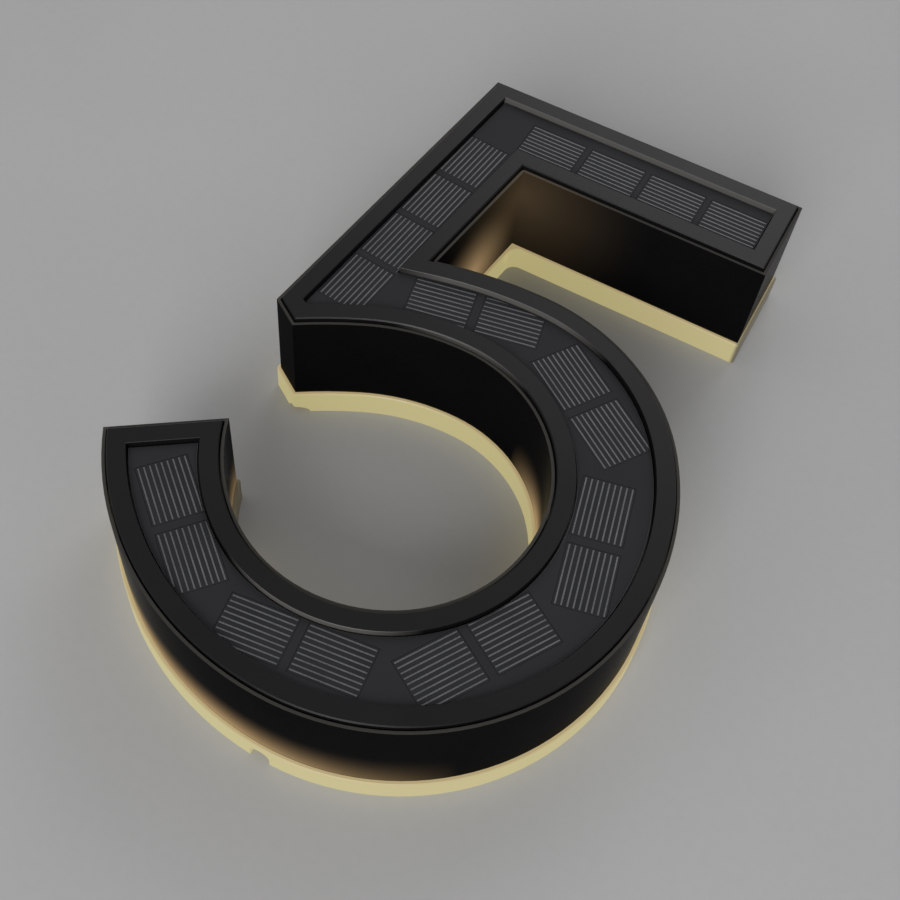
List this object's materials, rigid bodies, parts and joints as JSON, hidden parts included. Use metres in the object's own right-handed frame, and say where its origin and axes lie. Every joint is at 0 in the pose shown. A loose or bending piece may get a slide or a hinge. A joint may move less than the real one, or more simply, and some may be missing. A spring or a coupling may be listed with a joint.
{
  "type": "illuminated house number sign",
  "caption": "Solar house number, the digit five: black metal letter with a rim, solar cells let into the face, and a glowing acrylic band behind it.",
  "frame": {"origin": "middle of the bounding box, on the back face that lies on the wall or table", "axes": "+Z out of the face, +Y up the digit, +X along the bar to the right"},
  "size_m": [0.1402, 0.206, 0.04],
  "materials": {
    "metal": "satin black paint",
    "face_plate": "satin black paint",
    "face_board": "dark grey solder mask, satin",
    "solar_cell": "dark silicon under clear resin",
    "cell_finger": "silver print",
    "acrylic": "frosted, lit from inside",
    "seal": "matt bead",
    "rubber": "soft matt",
    "foam": "foam tape",
    "back_plastic": "fine textured",
    "white_plastic": "matt white, reflective",
    "steel": "bright zinc",
    "brass": "machined",
    "aluminium": "turned",
    "circuit": "green solder mask",
    "strip": "white film",
    "lamp": "yellow phosphor",
    "component": "moulded black",
    "connector": "moulded cream",
    "lead": "red insulation",
    "battery_wrap": "green wrap"
  },
  "bodies": {
    "sign": {"back_cover": "back_plastic", "battery": "battery_wrap", "battery_contact": "steel", "battery_holder": "component", "battery_lead": "lead", "battery_spring": "steel", "board_capacitor": "component", "board_connectors": "connector", "board_screws": "steel", "boost_inductor": "component", "button_seal": "rubber", "button_spring": "steel", "cell_fingers_bar": "cell_finger", "cell_fingers_bowl": "cell_finger", "cell_fingers_stem": "cell_finger", "control_board": "circuit", "controller_chip": "component", "cover_gasket": "rubber", "cover_screws": "steel", "edge_seal": "seal", "face_plate": "face_plate", "front_bezel": "metal", "holder_screws": "steel", "inner_tray": "white_plastic", "led_chips": "lamp", "led_lead": "lead", "led_strip": "strip", "led_terminal": "connector", "light_guide": "acrylic", "panel_board": "face_board", "panel_lead": "lead", "panel_pad": "foam", "return_band": "metal", "rim_screws": "steel", "solar_cell_01": "solar_cell", "solar_cell_02": "solar_cell", "solar_cell_03": "solar_cell", "solar_cell_04": "solar_cell", "solar_cell_05": "solar_cell", "solar_cell_06": "solar_cell", "solar_cell_07": "solar_cell", "solar_cell_08": "solar_cell", "solar_cell_09": "solar_cell", "solar_cell_10": "solar_cell", "solar_cell_11": "solar_cell", "solar_cell_12": "solar_cell", "solar_cell_13": "solar_cell", "solar_cell_14": "solar_cell", "solar_cell_15": "solar_cell", "solar_cell_16": "solar_cell", "solar_cell_17": "solar_cell", "solar_cell_18": "solar_cell", "solar_cell_19": "solar_cell", "solar_cell_20": "solar_cell", "standoff_pillars": "aluminium", "switch_body": "component", "switch_lead": "lead", "wall_inserts": "brass"},
    "button": {"push_button": "rubber"}
  },
  "joints": [
    {"name": "button_press", "type": "slide", "parent": "sign", "child": "button", "axis": [0, 0, 1], "range_m": [0, 0.0012], "stiffness_N_per_m": 600, "springref_m": -0.001, "deforming": ["button_spring"]}
  ]
}
